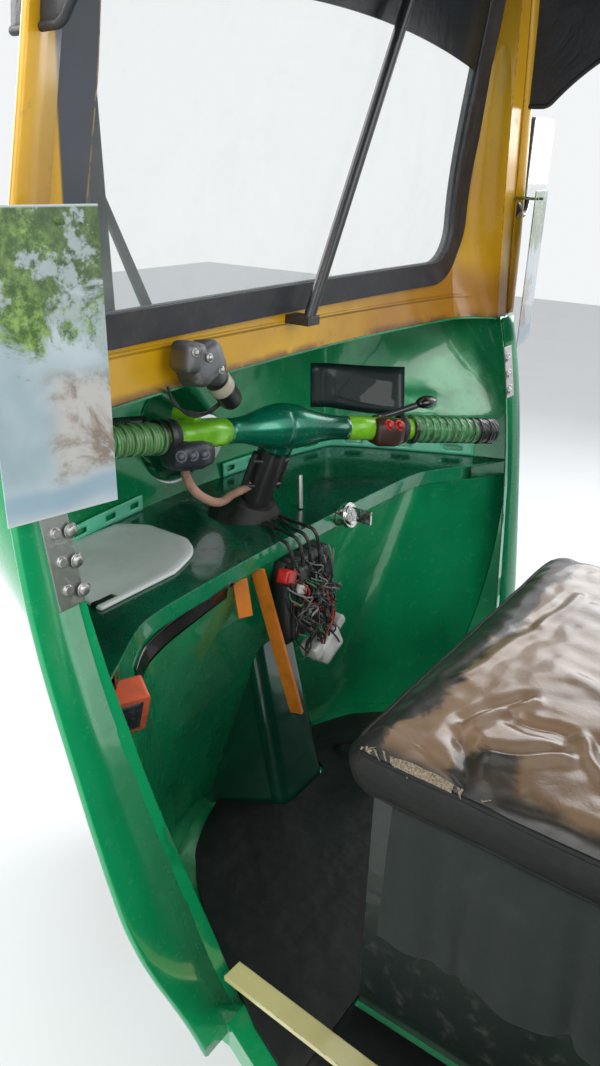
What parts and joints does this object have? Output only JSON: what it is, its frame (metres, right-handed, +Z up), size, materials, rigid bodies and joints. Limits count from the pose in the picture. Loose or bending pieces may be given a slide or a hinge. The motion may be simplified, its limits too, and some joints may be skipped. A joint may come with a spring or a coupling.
{
  "type": "auto rickshaw driver's cab",
  "caption": "Front cab of a three-wheeled taxi: hollow nose, windscreen, dash tray, seat and roof, with handlebar steering and a sprung front wheel.",
  "frame": {"origin": "middle of the four bolt holes of the rear joint, on the joint plate's rear face", "axes": "+X forward out of the nose, +Y to the left, +Z up; the ground is 0.290 m below the origin"},
  "size_m": [1.1852, 1.208, 1.7068],
  "materials": {
    "amber_lens": "amber lens",
    "black_steel": "black enamel",
    "canopy_cloth": "black coated hood cloth",
    "clear_film": "printed clear film",
    "clear_glass": "clear safety glass",
    "cover_green": "dark metallic green",
    "cream_paint": "cream enamel",
    "green_paint": "glossy metallic green enamel",
    "grip_rubber": "ribbed green rubber grip",
    "lamp_glass": "fluted lamp glass",
    "lime_plastic": "lime green plastic sleeve",
    "mat_rubber": "worn black mat",
    "motor_black": "black motor housing",
    "orange_plastic": "orange plastic",
    "pale_plastic": "pale grey plastic",
    "pod_plastic": "dark brown switch plastic",
    "rim_paint": "silver enamel",
    "seal_rubber": "matt black rubber",
    "seat_vinyl": "dark brown vinyl under clear plastic",
    "sheath_pink": "faded orange-pink sheath",
    "skirt_cloth": "grey-black cloth",
    "tray_green": "dark green enamel, worn",
    "tyre_rubber": "tyre rubber",
    "white_plastic": "white plastic",
    "yellow_paint": "amber yellow enamel",
    "zinc_steel": "dull zinc plate"
  },
  "bodies": {
    "cab": {"backrest": "seat_vinyl", "brake_pedal": "black_steel", "cable_strips": "orange_plastic", "canopy": "canopy_cloth", "chassis_frame": "black_steel", "column_boot": "seal_rubber", "dash_tray": "tray_green", "door_brackets": "black_steel", "floor_mat": "mat_rubber", "floor_panel": "green_paint", "fuse_box": "white_plastic", "headlamp": "lamp_glass", "ignition_lock": "zinc_steel", "indicators": "amber_lens", "knee_panel": "green_paint", "meter_box": "pod_plastic", "nose_panel": "green_paint", "partition": "green_paint", "roof_frame": "black_steel", "seat_box": "green_paint", "seat_cushion": "seat_vinyl", "seat_skirt": "skirt_cloth", "side_films": "clear_film", "side_mirrors": "motor_black", "start_lever": "cream_paint", "sun_band": "skirt_cloth", "tray_plate": "cream_paint", "wheel_housing": "green_paint", "windscreen_glass": "clear_glass", "windscreen_seal": "seal_rubber", "windscreen_stay": "pale_plastic", "windscreen_surround": "yellow_paint", "wiper_arm": "black_steel", "wiper_motor": "motor_black"},
    "steering": {"axle_link": "zinc_steel", "bar_sleeve_left": "lime_plastic", "bar_sleeve_right": "lime_plastic", "clutch_lever": "grip_rubber", "damper": "black_steel", "front_mudguard": "green_paint", "grip_left": "grip_rubber", "grip_right": "grip_rubber", "handlebar_cover": "cover_green", "loom_sheath": "sheath_pink", "steering_column": "black_steel", "switch_pod_left": "pod_plastic", "switch_pod_right": "pod_plastic"},
    "front_wheel": {"tyre": "tyre_rubber", "wheel_rim": "rim_paint"}
  },
  "joints": [
    {"name": "steering", "type": "hinge", "parent": "cab", "child": "steering", "pos_m": [0.752, 0, 0.525], "axis": [-0.3469, 0, 0.9379], "range_deg": [-14.1, 55.9]},
    {"name": "front_wheel_spin", "type": "hinge", "parent": "steering", "child": "front_wheel", "pos_m": [0.9516, 0.00925, -0.08441], "axis": [0.3346, 0.9342, 0.1238], "continuous": true}
  ]
}
